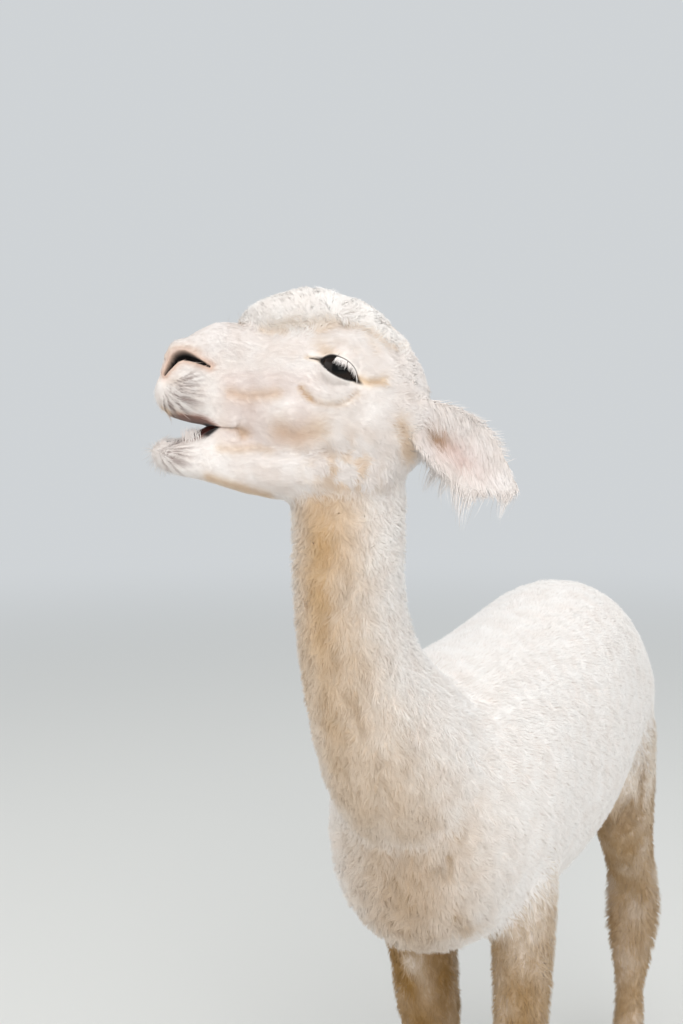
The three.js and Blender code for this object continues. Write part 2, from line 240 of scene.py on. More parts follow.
def smooth_by(weight, levels, iterations):
    """Smooths the hide, each point by its own weight, told apart in so many levels."""
    group = hide.vertex_groups.new(name="weight")
    for level in range(1, levels + 1):
        chosen = np.nonzero(np.round(weight * levels) == level)[0]
        group.add(chosen.tolist(), level / levels, "REPLACE")
    modify(hide, "SMOOTH", factor=0.5, iterations=iterations, vertex_group=group.name)


coat_depths, evenness = np.array([COVER[kind(name)] for name in MELTED]).T
flesh_here = nearest_flesh(read_points(hide.data), MELTED)
ends = edge_ends(hide.data)
ahead, aside, above = in_head(read_points(hide.data)).T
jaw_angle = bell(ahead + 42, 34) * bell(above + 98, 30)  # where cheek, throat and neck run into each other
even_here = soften(np.maximum(evenness[flesh_here], 0.5 * jaw_angle), ends, 10)
modify(hide, "SMOOTH", factor=0.5, iterations=6)
smooth_by(even_here, 20, 180)

# In front the neck runs into the breast without a fold.
xs, ys, heights = read_points(hide.data).T
on_trunk = soften(flesh_here == MELTED.index("trunk"), ends, 60)
breast_edge = 4 * on_trunk * (1 - on_trunk) * fall(-0.32, -0.22, ys) * ramp(0.56, 0.6, heights)
smooth_by(np.clip(1.5 * breast_edge, 0, 1), 10, 500)

depth = soften(coat_depths[flesh_here], ends, 14)
depth *= 1 - (read_points(hide.data)[:, 2] < SOLE_EDGE) * ramp(0.3, 0.7, -read_normals(hide.data)[:, 2])
write_points(hide.data, read_points(hide.data) - read_normals(hide.data) * depth[:, None] * MM)
modify(hide, "SMOOTH", factor=0.5, iterations=3)
settled = read_points(hide.data)
settled[:, 2] = np.maximum(settled[:, 2], 0)
write_points(hide.data, settled)

# Each ear is a thin cupped leaf, made finer, pushed into the head at its root and grown onto the hide.
EAR_GRAIN = 1.3 * MM
EAR_ROOT = np.array([-66.0, 38.0, -48.0])
EAR_TIP = {"left": np.array([-168.0, 60.0, -118.0]), "right": np.array([-163.0, 64.0, -98.0])}
EAR_THINNED = 0.8 * MM  # coat over each face of the ear
EAR_SUNK = 12.0  # how far the root is pushed into the head, in millimetres
EAR_TRIM = 0.38  # how much narrower the lower half of each ear is near its root


def ear_share(places, side):
    """How far along the ear from root to tip, how far across it in millimetres, and its own way from root to tip."""
    mirror = [1, SIDES[side], 1]
    span = EAR_TIP[side] - EAR_ROOT
    length = np.linalg.norm(span)
    along = span / length
    outward = np.array([0.0, 1.0, 0.0]) - along[1] * along
    outward /= np.linalg.norm(outward)
    across = np.cross(outward, along)
    local = places * mirror - EAR_ROOT
    return local @ along / length, local @ across, along * mirror


for side in SIDES:
    ear = flesh_copy(f"ear_{side}")
    modify(ear, "REMESH", mode="VOXEL", voxel_size=EAR_GRAIN, adaptivity=0)
    modify(ear, "SMOOTH", factor=0.5, iterations=22)
    places = in_head(read_points(ear.data) - read_normals(ear.data) * EAR_THINNED)
    share, across, along = ear_share(places, side)
    start = ear_share(places[:1], side)[1]
    across_way = np.concatenate([ear_share(places[:1] + step, side)[1] - start for step in np.eye(3)])
    trimmed = np.minimum(across, 0) * EAR_TRIM * fall(0.3, 0.75, share)
    places -= trimmed[:, None] * across_way
    places -= np.clip(1 - share / 0.22, 0, 1.4)[:, None] * EAR_SUNK * along
    write_points(ear.data, from_head(places))
    modify(ear, "DECIMATE", ratio=0.3)
    modify(hide, "BOOLEAN", operation="UNION", object=ear, solver="MANIFOLD")
    bpy.data.objects.remove(ear)

# The trunk, neck and legs are even enough for large triangles. The head and ears keep their small ones.
FLESH = [*MELTED, *EARS]
FINE_FLESH = ["head", "lower_jaw", "topknot", *EARS]
flesh_here = nearest_flesh(read_points(hide.data), FLESH)
thinned = hide.vertex_groups.new(name="thinned")
thinned.add(np.nonzero(~np.isin(FLESH, FINE_FLESH)[flesh_here])[0].tolist(), 1.0, "REPLACE")
modify(hide, "DECIMATE", ratio=0.15, vertex_group="thinned", vertex_group_factor=1000)
hide.vertex_groups.clear()


def curve_through(rows, steps=12):
    """A smooth curve through the rows, as many close points."""
    rows = np.array(rows, float)
    padded = np.vstack([2 * rows[0] - rows[1], rows, 2 * rows[-1] - rows[-2]])
    out = []
    for i in range(1, len(padded) - 2):
        a, b, c, d = padded[i - 1 : i + 3]
        for t in np.arange(steps) / steps:
            bent = (2 * a - 5 * b + 4 * c - d) * t**2 + (3 * b - a - 3 * c + d) * t**3
            out.append(0.5 * (2 * b + (c - a) * t + bent))
    out.append(rows[-1])
    return np.array(out)


def beside(places, rows):
    """The distance of each place (forward, up) from a curve, how far along it the nearest point is, and that point."""
    line = curve_through(rows)
    gaps = np.linalg.norm(places[:, None, :] - line[None, :, :2], axis=2)
    nearest = gaps.argmin(axis=1)
    return gaps[np.arange(len(places)), nearest], nearest / (len(line) - 1), line[nearest]


# Where the lids part, on the ball seen from the side: the middle, half length, heights above and below, and tilt.
SLIT = {"forward": 1.2, "up": -0.9, "half": 17.0, "above": 9.4, "below": 6.2, "tilt": 28.0, "power": 1.9}
FAR_FROM_EYE = 60.0


def slit_gap(places, side):
    """How far outside the parted lids each place of the head is, how far from the eye's middle, and how high."""
    out = (places - EYE_AT * [1, side, 1]) * [1, side, 1]
    far = np.linalg.norm(out, axis=1)
    way = out / np.maximum(far, 1e-6)[:, None]
    x = EYE_RADIUS * way[:, 0] - SLIT["forward"]
    z = EYE_RADIUS * way[:, 2] - SLIT["up"]
    tilt = math.radians(SLIT["tilt"])
    along = (x * math.cos(tilt) + z * math.sin(tilt)) / SLIT["half"]
    lift = -x * math.sin(tilt) + z * math.cos(tilt)
    height = np.where(lift > 0, SLIT["above"], SLIT["below"])
    across = lift / height
    power = SLIT["power"]
    level = np.maximum((np.abs(along) ** power + np.abs(across) ** power) ** (1 / power), 1e-4)
    slope_along = (np.abs(along) / level) ** (power - 1) / SLIT["half"]
    slope_across = (np.abs(across) / level) ** (power - 1) / height
    gap = (level - 1) / np.hypot(slope_along, slope_across)
    return np.where(way[:, 1] > 0.05, gap, FAR_FROM_EYE), far, lift


# Each nostril is a slit shaped like a comma: forward, up and half its width, from its front end over to its tail.
NOSTRIL = [
    (169, -8, 1.1),
    (163.5, 0, 2.4),
    (158, 7, 3.4),
    (152, 10, 3.7),
    (145, 8.5, 3.0),
    (138, 5.5, 2.2),
    (131, 2, 1.5),
    (125, -1, 0.8),
]
NOSTRIL_DEPTH = 11
MUZZLE_FROM = 108


def refine(chosen_faces):
    """Halves the edges of the chosen faces and leaves only triangles."""
    only(hide)
    bpy.ops.object.mode_set(mode="EDIT")
    bpy.ops.mesh.select_mode(type="FACE")
    bpy.ops.mesh.select_all(action="DESELECT")
    bpy.ops.object.mode_set(mode="OBJECT")
    hide.data.polygons.foreach_set("select", chosen_faces)
    bpy.ops.object.mode_set(mode="EDIT")
    bpy.ops.mesh.subdivide(number_cuts=1, smoothness=0)
    bpy.ops.mesh.select_all(action="SELECT")
    bpy.ops.mesh.quads_convert_to_tris()
    bpy.ops.object.mode_set(mode="OBJECT")


def near_features(places, around_eye, around_nostril):
    """Which places lie beside the edge of a lid or near a nostril."""
    found = np.zeros(len(places), bool)
    flat = places[:, [0, 2]]
    for side in SIDES.values():
        gap, far, _ = slit_gap(places, side)
        found |= (np.abs(gap) < around_eye) & (far < 34)
        near = (flat[:, 0] > 110) & (places[:, 1] * side > 6) & (flat[:, 1] > -25)
        reach = np.full(len(places), 99.0)
        reach[near] = beside(flat[near], NOSTRIL)[0]
        found |= reach < around_nostril
    return found


middles = in_head(read(hide.data.polygons, "center"))
muzzle = (middles[:, 0] > MUZZLE_FROM) & (np.abs(middles[:, 1]) < 60) & (middles[:, 2] > -130)
refine(muzzle | near_features(middles, 16, 12))
refine(near_features(in_head(read(hide.data.polygons, "center")), 3.0, 6.5))

# Creases and swellings of the head, each a curve of (forward, up), its half width, how deep it is cut (or how far
# it swells, where less than 0), and how much tan it gets: stain, and painted shade in the crease.
FOLDS = {
    "bag_crease": ([(38, -23), (34, -29), (26, -34.5), (14, -38), (2, -37), (-7, -33), (-14, -27)], 2.4, 2.2, 0.3),
    "bag_start": ([(39, -22), (35, -28), (29, -33)], 2.0, 0.4, 0.75),
    "bag": ([(32, -20), (16, -27), (0, -25)], 7, -2.2, 0),
    "brow_crease": ([(60, 36), (44, 38.5), (26, 38), (10, 39.5), (-8, 37)], 3, 1.8, 0.3),
    "lid_fold": ([(27, 15), (14, 21), (0, 20.5), (-14, 12)], 2.4, 1.4, 0.06),
    "brow": ([(34, 29), (12, 31), (-12, 27)], 6, -1.6, 0),
    "temple_crease": ([(-26, 32), (-30, 22), (-33, 13)], 3, 1.2, 0.15),
    "corner_fold": ([(-16, -14), (-27, -17), (-40, -15)], 3, 1.4, 0.6),
    "tear_line": ([(16, 3), (24, 5), (33, 7)], 1.6, 1.4, 0.4),
    "cheek_line": ([(106, -26), (92, -29), (76, -28), (62, -27)], 4, 1.3, 0.4),
    "cheek_muscle": ([(66, -44), (52, -46)], 12, -3.2, 0),
    "jaw_line": ([(116, -79), (100, -80), (84, -78), (70, -81)], 3.4, 1.0, 0.35),
    "lip_corner": ([(113, -59), (104, -61.5), (94, -65)], 4.5, 1.6, 0.55),
    "cheek_hollow": ([(58, -62), (42, -67), (24, -62)], 8, 1.6, 0.45),
    "lip_notch": ([(174, -9), (167, -13), (158, -15)], 3.5, 1.4, 0.15),
    "ear_crease": ([(-56, -56), (-62, -70), (-66, -86)], 5, 2.4, 0.5),
    "nostril_flap": ([(166, 10), (158, 16.5), (148, 16), (138, 11.5)], 3.4, -1.8, 0.3),
    "chin_swelling": ([(176, -92), (160, -98), (146, -100)], 8, -1.5, 0),
}

# Dark lines of the head, painted shade in the slits and creases at the eye's front corner, the mouth's corners and
# the lower lip: each a curve of (forward, up), its half width, how dark it is and how deep it is cut.
DARK_LINES = {
    "tear_line": ([(15, 3.5), (23, 5.2), (30, 6)], 1.2, 0.85, 0),
    "mouth_corner": ([(134, -58), (124, -58.5), (114, -58.5)], 1.8, 1.0, 2.0),
    "lip_slit": ([(168, -72.5), (160, -72), (152, -73)], 0.8, 0.75, 0.8),
}
LIP_SPLIT = {"depth": 2.6, "half_width": 2.2}  # the groove from the nose down the middle of the upper lip

# Marks that the hide and all its hair carry, from 0 to 1, and their colours. The stain, soil, grey and dark marks
# also carry painted shade in places. Where the hide is bare, nothing grows.
MARK_TINTS = {"stain_and_shade": "#d4ac72", "soil": "#94713f", "blush": "#cf9f90", "grey": "#8c7872", "dark": "#110c0b"}
marks = {mark: np.zeros(len(hide.data.vertices)) for mark in (*MARK_TINTS, "bare")}


def deepen(mark, amount, where=slice(None)):
    """Makes a mark at least as strong as the amount."""
    marks[mark][where] = np.maximum(marks[mark][where], amount)


places = in_head(read_points(hide.data))
ways = read_normals(hide.data) @ HEAD_AXES.T
ahead, aside, above = places.T
flat = places[:, [0, 2]]
inward = np.zeros(len(places))

for side in SIDES.values():
    on_side = (aside * side > 3) & (ways[:, 1] * side > -0.15) & (ahead > -95) & (above > -140)
    cheek = np.nonzero(on_side)[0]
    for rows, width, cut, tan in FOLDS.values():
        gap = beside(flat[cheek], rows)[0]
        inward[cheek] += cut * bell(gap, width)
        deepen("stain_and_shade", tan * bell(gap, width * 1.5), cheek)
    # Each nostril is cut in and painted near black inside as painted shade, with a peach rim and tan painted shade
    # round it.
    near = cheek[ahead[cheek] > 105]
    gap, _, hit = beside(flat[near], NOSTRIL)
    half = hit[:, 2]
    inward[near] += NOSTRIL_DEPTH * fall(half * 0.75, half * 1.45, gap) * np.minimum(half / 3.2, 1)
    deepen("dark", fall(half * 0.9, half * 1.5, gap), near)
    deepen("bare", fall(half * 1.2, half * 1.8, gap), near)
    deepen("blush", 0.42 * bell(np.maximum(gap - half, 0), 5.0), near)
    deepen("stain_and_shade", 0.4 * bell(np.maximum(gap - half, 0), 4.0), near)
    lined = np.nonzero((aside * side > 3) & (ways[:, 1] * side > -0.3) & (above > -90))[0]
    for rows, width, most, cut in DARK_LINES.values():
        gap, along, _ = beside(flat[lined], rows)
        taper = np.maximum(width * (1 - 0.5 * along), 0.4)
        deepen("dark", most * fall(taper * 0.7, taper * 1.6, gap), lined)
        inward[lined] += cut * bell(gap, width)

groove = band(-40, -30, 2, 12, above) * (ahead > 150) * bell(aside, LIP_SPLIT["half_width"])
inward += LIP_SPLIT["depth"] * groove
nose_bridge = ramp(0.1, 0.7, ways[:, 2]) * (above > 4)
inward -= nose_bridge * (4.0 * bell(ahead - 116, 17) - 1.6 * bell(ahead - 149, 7))
places = places - ways * inward[:, None]

# The lids: a rim just proud of the ball all round the slit, and the hide dives behind the ball inside it.
LID_PROUD = 2.0
LID_DIVE = 3.0
for side in SIDES.values():
    gap, far, lift = slit_gap(places, side)
    near = np.nonzero((gap < 20) & (far < 40))[0]
    gap, far, lift = gap[near], far[near], lift[near]
    lid = EYE_RADIUS + LID_PROUD * ramp(-0.5, 0.9, gap) - LID_DIVE * fall(-1.5, -0.4, gap)
    kept = np.maximum(far, EYE_RADIUS + 1.5)
    new = lid + (kept - lid) * np.maximum(ramp(2.5, 12, gap), ramp(21.5, 27.5, far))
    middle = EYE_AT * [1, side, 1]
    places[near] = middle + (places[near] - middle) * (new / far)[:, None]
    rim_width = 1 + 1.5 * ramp(0, 3, lift) * bell(places[near, 0] - 9, 6)
    deepen("dark", fall(0.3, 1.1, gap / rim_width), near)
    deepen("bare", fall(1.2, 2.4, gap), near)
    # Above the inner half of the slit: tan, both tear stain and painted shade.
    deepen("stain_and_shade", 0.4 * bell(gap - 3, 3) * ramp(-3, 5, lift) * bell(places[near, 0] - 14, 12), near)

# The inside of the mouth: the palate faces down and the floor faces up, behind the lips. Both are pink under
# painted shade, and the throat behind them is painted near black as shade.
off_middle = np.abs(places[:, 1])
open_from = ramp(104, 110, ahead)
palate = open_from * ramp(0.3, 0.75, -ways[:, 2]) * band(-62, -58, -46, -42, above)
palate *= fall(164, 170, ahead) * fall(17, 22, off_middle)
floor = open_from * ramp(0.3, 0.75, ways[:, 2]) * band(-80, -75, -62, -56, above)
floor *= fall(150, 158, ahead) * fall(11, 16, off_middle)
throat = open_from * fall(128, 142, ahead) * band(-72, -68, -53, -49, above) * fall(17, 21, off_middle)
mouth = np.maximum(palate, floor)
deepen("blush", mouth)
deepen("dark", np.maximum(0.7 * mouth, 0.98 * throat))
# Painted shade, tan and dark, under the edge of the upper lip.
lip_edge = bell(above + 44 + 0.3 * (168 - ahead), 4.5) * ramp(124, 130, ahead) * (ways[:, 2] < 0.3)
deepen("stain_and_shade", 0.8 * lip_edge)
deepen("dark", 0.5 * lip_edge * fall(140, 158, ahead))
deepen("bare", np.maximum(mouth, throat))
places = places + ways * (COVER["lower_jaw"][0] * mouth)[:, None]

# Toward the corners of the mouth the lips close on each other.
LIP_LINE = -58.5
lip_gap = places[:, 2] - LIP_LINE
off_middle = np.abs(places[:, 1])
closed = ramp(96, 102, ahead) * fall(113, 136, ahead) * ramp(9, 15, off_middle)
places[:, 2] -= lip_gap * closed * fall(6, 18, np.abs(lip_gap))
sealed = 1 - ramp(96, 102, ahead) * fall(114, 120, ahead) * ramp(11, 15, off_middle)
for mark in ("dark", "bare"):
    marks[mark] *= np.where(np.abs(lip_gap) < 16, sealed, 1)
head_only = (ahead > -100) & (above > -145)
write_points(hide.data, np.where(head_only[:, None], from_head(places), read_points(hide.data)))

# ---------------------------------------------------------------- the marks of skin and coat, and painted shade
# The real coat is stained tan down the throat and breast and brown with dried soil on the legs. The skin is pink
# inside the ears, and shows grey in streaks over the lips. All of it is kept as marks on the hide, and so is painted
# shade: at the foot of the breast, deep in the ear hollows and on top of the nose.

hide_at = read_points(hide.data)
hide_ways = read_normals(hide.data)
xs, ys, heights = hide_at.T
places = in_head(hide_at)
ahead, aside, above = places.T
ends = edge_ends(hide.data)
flesh_here = nearest_flesh(hide_at, FLESH)
part = {name: soften(flesh_here == number, ends, 5) for number, name in enumerate(FLESH)}
on_head = part["head"] + part["lower_jaw"]
on_ears = part["ear_left"] + part["ear_right"]
on_leg = sum(part[name] for name in LEGS)
on_foot = sum(part[name] for name in FEET)

# The middle of the neck from the throat down to the breast, and the tan stain at each height below it.
NECK_LINE = np.array([
    (-0.001, -0.415, 1.02),
    (-0.006, -0.397, 0.95),
    (-0.012, -0.352, 0.87),
    (-0.010, -0.287, 0.79),
    (-0.006, -0.212, 0.71),
])
TAN_HEIGHTS = (0.5, 0.6, 0.7, 0.8, 0.9, 1.0, 1.07, 1.1)
TAN = (0.4, 0.5, 0.52, 0.58, 0.72, 0.8, 0.76, 0.4)


def ripples(points, size, seed, waves=14):
    """A smooth random field from about -1 to 1, whose lumps are about size across."""
    chance = np.random.default_rng(seed)
    ways = chance.normal(size=(waves, 3))
    ways /= np.linalg.norm(ways, axis=1)[:, None]
    pace = math.pi / size * chance.uniform(0.6, 1.4, waves)
    turns = chance.uniform(0, 2 * math.pi, waves)
    total = np.zeros(len(points))
    for way, rate, turn in zip(ways, pace, turns):
        total += np.sin(points @ (way * rate) + turn)
    return total * math.sqrt(2 / waves) * 0.7


def mottling(points, size, seed):
    """The same field from about 0 to 1."""
    return 0.5 + 0.5 * ripples(points, size, seed)


middle_x, middle_y = (np.interp(-heights, -NECK_LINE[:, 2], NECK_LINE[:, axis]) for axis in (0, 1))
bearing = np.degrees(np.arctan2(xs - middle_x, middle_y - ys))
on_neck = np.maximum(part["neck"], part["trunk"] * fall(-0.24, -0.12, ys))
patches = mottling(hide_at, 0.022, 1)
tan = np.interp(heights, TAN_HEIGHTS, TAN)
tan *= bell(bearing - np.interp(heights, (0.6, 0.7, 0.85, 1.0), (8, 0, -8, 2)), 46) * (0.85 + 0.2 * patches)
deepen("stain_and_shade", on_neck * tan)

# The fleece of the breast parts in a few slanting cracks, each from one place (across, height) to another.
CRACKS = [
    ((0.044, 0.648), (0.069, 0.627)),
    ((0.029, 0.620), (0.058, 0.599)),
    ((0.051, 0.595), (0.071, 0.577)),
    ((0.057, 0.576), (0.073, 0.560)),
    ((0.076, 0.684), (0.070, 0.672)),
    ((0.064, 0.666), (0.056, 0.655)),
    ((0.010, 0.600), (0.034, 0.578)),
    ((0.020, 0.572), (0.042, 0.556)),
]
CRACK_WIDTH = 0.0022
CRACK_SHADE = 0.012
parted, beside_crack = np.zeros(len(hide_at)), np.zeros(len(hide_at))
for start, stop in CRACKS:
    run = np.subtract(stop, start)
    local = hide_at[:, [0, 2]] - start
    along = np.clip(local @ run / (run @ run), 0, 1)
    gap = np.linalg.norm(local - along[:, None] * run, axis=1)
    cracked = on_neck * (ys < -0.2) * (0.4 + 0.6 * np.sin(math.pi * along))
    parted = np.maximum(parted, cracked * bell(gap, CRACK_WIDTH))
    beside_crack = np.maximum(beside_crack, cracked * bell(gap, CRACK_SHADE))
deepen("stain_and_shade", 0.5 * beside_crack)
deepen("soil", np.maximum(0.75 * parted, 0.2 * beside_crack))
deepen("dark", 0.15 * parted)

# A line of ochre shadow parts the topknot from the brow.
topknot_edge = (4 * part["topknot"] * (1 - part["topknot"])) ** 2
deepen("stain_and_shade", 0.36 * topknot_edge * ramp(0.2, 0.7, mottling(hide_at, 0.012, 4)))

# Ochre gathers in the wool under the jaw and along its edge, and the skin shows pink through thin hair.
JAW_EDGE = [(128, -108), (100, -117), (72, -125)]
under_jaw = bell(np.hypot(ahead + 4, above + 106), 30)
deepen("stain_and_shade", on_head * 0.6 * under_jaw * ramp(0.35, 0.8, mottling(hide_at, 0.009, 3)))
deepen("stain_and_shade", on_head * 0.55 * bell(beside(places[:, [0, 2]], JAW_EDGE)[0], 5))
thin_hair = on_head * ramp(10, 50, ahead) * fall(105, 125, ahead) * ramp(-85, -70, above) * fall(-12, 0, above)
thin_hair *= 1 - bell(np.hypot(ahead - 60, above + 40), 14)
deepen("blush", 0.2 * thin_hair * (0.75 + 0.25 * patches))
# Painted shade, grey, on the top of the nose, where the light from above falls hardest.
deepen("grey", 0.14 * on_head * ramp(85, 110, ahead) * ramp(0, 16, above))

# Grey streaks fan over the lips, each fan from a middle (forward, up), between two bearings, with its reach and spread
# and how grey it is.
LIP_FANS = {"upper": ((170, -21), 150, 285, 20, 16, 0.95), "chin": ((176, -81), 150, 250, 14, 16, 0.9)}
for middle, start, stop, reach, spread, most in LIP_FANS.values():
    way = np.degrees(np.arctan2(above - middle[1], ahead - middle[0])) % 360
    far = np.hypot(ahead - middle[0], above - middle[1])
    streaks = ramp(0.35, 0.75, mottling(np.stack([way / 3.2, far / 40, aside / 25], axis=1), 1.1, 5))
    fan = on_head * most * band(start - 15, start + 10, stop - 10, stop + 15, way) * streaks
    deepen("grey", fan * bell(far - reach, spread) * (np.abs(aside) > 4))

# For each leg: the height up to which it is fully soiled, the height where it is clean, and how much soil it has.
SOILED = {
    "foreleg_left": (0.42, 0.62, 0.9),
    "foreleg_right": (0.52, 0.62, 1.1),
    "hindleg_left": (0.46, 0.58, 0.62),
    "hindleg_right": (0.46, 0.58, 0.9),
}
streaks = mottling(hide_at * [1, 1, 0.7], 0.024, 2)
for name, (full, clean, most) in SOILED.items():
    own = part[name] + part[name.replace("leg", "foot")]
    deepen("stain_and_shade", (0.3 + 0.3 * streaks) * own * fall(full, clean + 0.04, heights))
    deepen("soil", own * most * fall(full, clean, heights) * (0.54 + 0.42 * streaks))
    if name == "hindleg_left":
        blotches = ramp(0.55, 0.8, mottling(hide_at, 0.045, 9)) * band(0.36, 0.42, 0.6, 0.68, heights)
        deepen("soil", 0.72 * own * blotches)
# The foot of the breast is darker: dust, and painted shade where the breast lies in shade.
breast_dust_and_shade = 0.24 + 0.24 * ramp(0.3, 0.8, mottling(hide_at * [1, 1, 1.4], 0.011, 6))
deepen("soil", on_neck * fall(0.62, 0.78, heights) * bell(bearing - 8, 50) * breast_dust_and_shade)
crimps = ramp(0.5, 0.85, mottling(hide_at * [1, 1, 0.7], 0.0065, 8)) * band(0.55, 0.7, 1.0, 1.1, heights)
deepen("soil", on_neck * 0.3 * crimps * bell(bearing - 6, 44))

# Inside each ear the skin shows pink over the hollow, and painted shade, brown, lies deep in the hollow near its root.
for side, sign in SIDES.items():
    share, across, _ = ear_share(places, side)
    hollow = part[f"ear_{side}"] * ramp(0.2, 0.6, hide_ways @ HEAD_AXES[1] * sign)
    deepen("blush", 0.42 * hollow * bell(across + 1, 15) * bell(share - 0.42, 0.26))
    deepen("soil", 0.95 * hollow * bell(across - 3, 7) * bell(share - 0.24, 0.1))


def write_mark(mesh, name, values):
    mark = mesh.attributes.get(name) or mesh.attributes.new(name, "FLOAT", "POINT")
    mark.data.foreach_set("value", np.clip(values, 0, 1).astype(np.float32))


bare = marks.pop("bare")
for name, values in marks.items():
    write_mark(hide.data, name, values)

only(hide)
bpy.ops.object.mode_set(mode="EDIT")
bpy.ops.mesh.select_all(action="SELECT")
bpy.ops.uv.smart_project(angle_limit=math.radians(66), island_margin=0.002)
bpy.ops.object.mode_set(mode="OBJECT")
hide.data.uv_layers[0].name = "OFBake"
bpy.ops.object.shade_smooth()


def linear(code):
    """An sRGB hex colour as linear RGBA."""
    channels = [int(code[i : i + 2], 16) / 255 for i in (1, 3, 5)]
    return (*(c / 12.92 if c <= 0.04045 else ((c + 0.055) / 1.055) ** 2.4 for c in channels), 1)


def add_node(tree, kind_of_node, inputs=None, **settings):
    """Adds a node with its settings. Each of its inputs gets a link, a number or a hex colour."""
    node = tree.nodes.new(kind_of_node)
    for key, value in settings.items():
        setattr(node, key, value)
    for socket, value in (inputs or {}).items():
        if isinstance(value, bpy.types.NodeSocket):
            tree.links.new(value, node.inputs[socket])
        else:
            node.inputs[socket].default_value = linear(value) if isinstance(value, str) else value
    return node


def new_finish(name, **constants):
    """A new material with its node tree and its shader, whose constant numbers are set on its own sockets."""
    made = bpy.data.materials.new(name)
    made.use_nodes = True
    shader = made.node_tree.nodes["Principled BSDF"]
    for key, value in constants.items():
        shader.inputs[key.replace("_", " ")].default_value = value
    return made, made.node_tree, shader


def hair_finish(name, clean, shaded, sheen):
    """A soft, matt finish of fine hair with a pale sheen at glancing angles: a little uneven, then the marks on it."""
    made, tree, shader = new_finish(
        name, Roughness=0.88, Specular_IOR_Level=0.2, Sheen_Weight=sheen, Sheen_Roughness=0.5
    )
    place = add_node(tree, "ShaderNodeTexCoord").outputs["Object"]
    mottle = add_node(tree, "ShaderNodeTexNoise", {"Vector": place, "Scale": 38.0, "Detail": 3.0, "Roughness": 0.55})
    level = add_node(tree, "ShaderNodeMapRange", {"Value": mottle.outputs["Fac"], "From Min": 0.35, "From Max": 0.7})
    layers = add_node(tree, "ShaderNodeMix", {0: level.outputs["Result"], 6: clean, 7: shaded}, data_type="RGBA")
    for mark, tint in MARK_TINTS.items():
        share = add_node(tree, "ShaderNodeAttribute", attribute_name=mark).outputs["Fac"]
        layers = add_node(tree, "ShaderNodeMix", {0: share, 6: layers.outputs[2], 7: tint}, data_type="RGBA")
    tree.links.new(layers.outputs[2], shader.inputs["Base Color"])
    return made


skin_hair = hair_finish("short_white_hair_over_skin", "#f3eeea", "#ebe2dc", 0.15)
skin_tree = skin_hair.node_tree
place = add_node(skin_tree, "ShaderNodeTexCoord").outputs["Object"]
nap = add_node(skin_tree, "ShaderNodeTexNoise", {"Vector": place, "Scale": 700.0, "Detail": 2.0}).outputs["Fac"]
raised = add_node(skin_tree, "ShaderNodeBump", {"Height": nap, "Strength": 0.4, "Distance": 0.0006})
skin_tree.links.new(raised.outputs["Normal"], skin_tree.nodes["Principled BSDF"].inputs["Normal"])
hide.data.materials.clear()
hide.data.materials.append(skin_hair)
hide.data.polygons.foreach_set("material_index", np.zeros(len(hide.data.polygons), np.int32))
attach(hide, "root")
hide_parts(*FLESH)

# ---------------------------------------------------------------- the lie of the coat
# Hair grows out of the hide and is laid over by its own weight: back from the nose over the head, down the neck,
# back and down over the trunk, and down the legs. Each field below has one value for each point of the hide.

triangles = read(hide.data.loops, "vertex_index", 1, np.int64).reshape(-1, 3)
flat_map = read(hide.data.uv_layers["OFBake"].data, "uv", 2).reshape(-1, 3, 2)
a, b, c = (hide_at[triangles[:, number]] for number in range(3))
areas = np.linalg.norm(np.cross(b - a, c - a), axis=1) / 2


def unit(ways):
    return ways / np.maximum(np.linalg.norm(ways, axis=1), 1e-9)[:, None]


def in_row(*head_way):
    """A way in the head's frame, turned to the model's."""
    return np.array(head_way, float) @ HEAD_AXES


def around(spot, width):
    """1 at a spot of the head, and less farther from it."""
    return bell(np.linalg.norm(places - spot, axis=1), width)


lie = np.outer(part["trunk"], [0, 0.75, -0.55])
lie += np.outer(part["neck"], [0, 0.12, -1])
lie += np.outer(part["tail"] + on_leg, [0, 0.05, -1])
lie += np.outer(on_foot, [0, -0.5, -0.8])
lie += part["topknot"][:, None] * (unit(places - [20, 0, 10]) @ HEAD_AXES)
to_neck = fall(-20, 50, ahead) * fall(-90, -50, above)
lie += np.outer(on_head, in_row(-1, 0, -0.12)) + np.outer(on_head * to_neck, in_row(0.2, 0, -0.9))
for side, sign in SIDES.items():
    own_half = on_head * (aside * sign > 0)
    lip_way, lip_spot = unit(places - [176, 6 * sign, -16]), [170, 14 * sign, -26]
    chin_way, chin_spot = unit(places - [186, 4 * sign, -76]), [176, 8 * sign, -84]
    lie += (1.6 * own_half * around(lip_spot, 26))[:, None] * (lip_way @ HEAD_AXES)
    lie += (1.4 * own_half * around(chin_spot, 22))[:, None] * (chin_way @ HEAD_AXES)
    lie += np.outer(part[f"ear_{side}"], 0.5 * ear_share(places, side)[2] @ HEAD_AXES + [0, 0, -0.9])
    eye_spot = EYE_AT * [1, sign, 1] + [1, 12 * sign, -1]
    lie += (1.2 * around(eye_spot, 20))[:, None] * (unit(places - eye_spot) @ HEAD_AXES)
lie = soften(lie, ends, 6)
lie = unit(lie - (lie * hide_ways).sum(axis=1)[:, None] * hide_ways)

